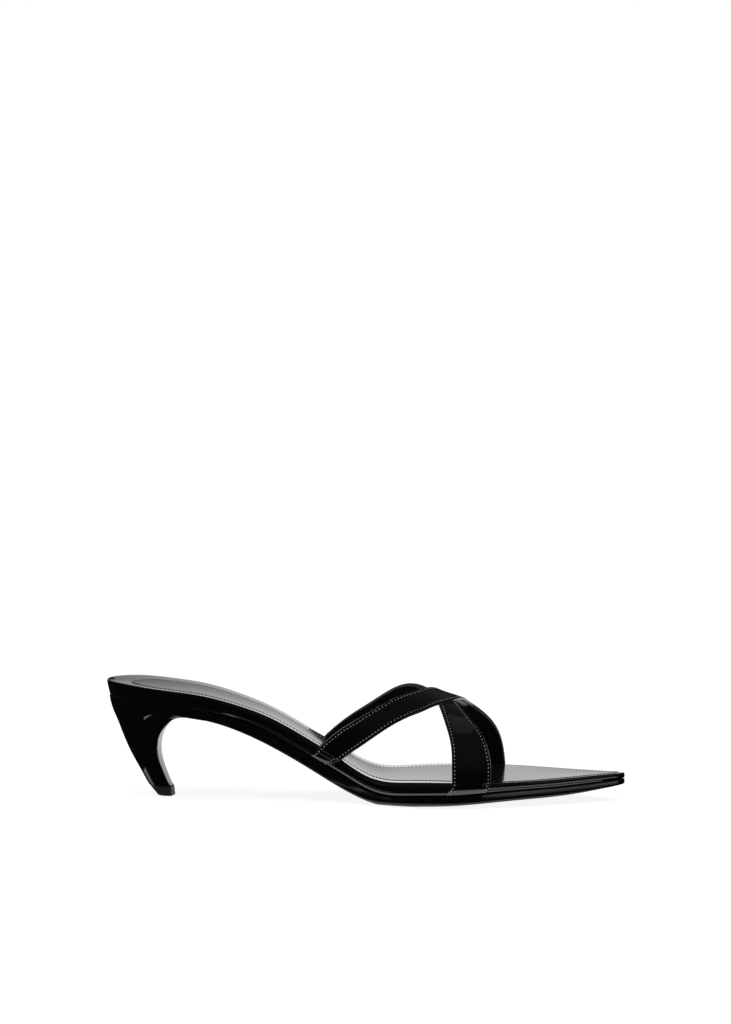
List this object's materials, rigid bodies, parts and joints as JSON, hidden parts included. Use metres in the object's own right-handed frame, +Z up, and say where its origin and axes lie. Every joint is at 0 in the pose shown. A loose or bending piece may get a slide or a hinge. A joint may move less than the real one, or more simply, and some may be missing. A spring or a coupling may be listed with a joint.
{
  "type": "kitten heel mule sandal",
  "caption": "Backless pointed sandal on a curved kitten heel, its upper of straps that cross over the foot, with a cupped footbed, a sock and a thin outsole.",
  "frame": {"origin": "middle of the heel tip's face on the floor, so the sandal stands on z = 0", "axes": "+X from the heel to the toe, +Y to the inner side of the foot, +Z up"},
  "size_m": [0.2549, 0.0771, 0.057],
  "materials": {
    "patent_leather": "black patent, mirror gloss",
    "sock_leather": "black, semi-gloss",
    "outsole_rubber": "black, satin",
    "tip_rubber": "dull charcoal"
  },
  "bodies": {
    "root": {"footbed": "patent_leather", "insole_sock": "sock_leather", "outsole": "outsole_rubber", "heel": "patent_leather", "heel_tip": "tip_rubber", "upper": "patent_leather"}
  },
  "joints": []
}
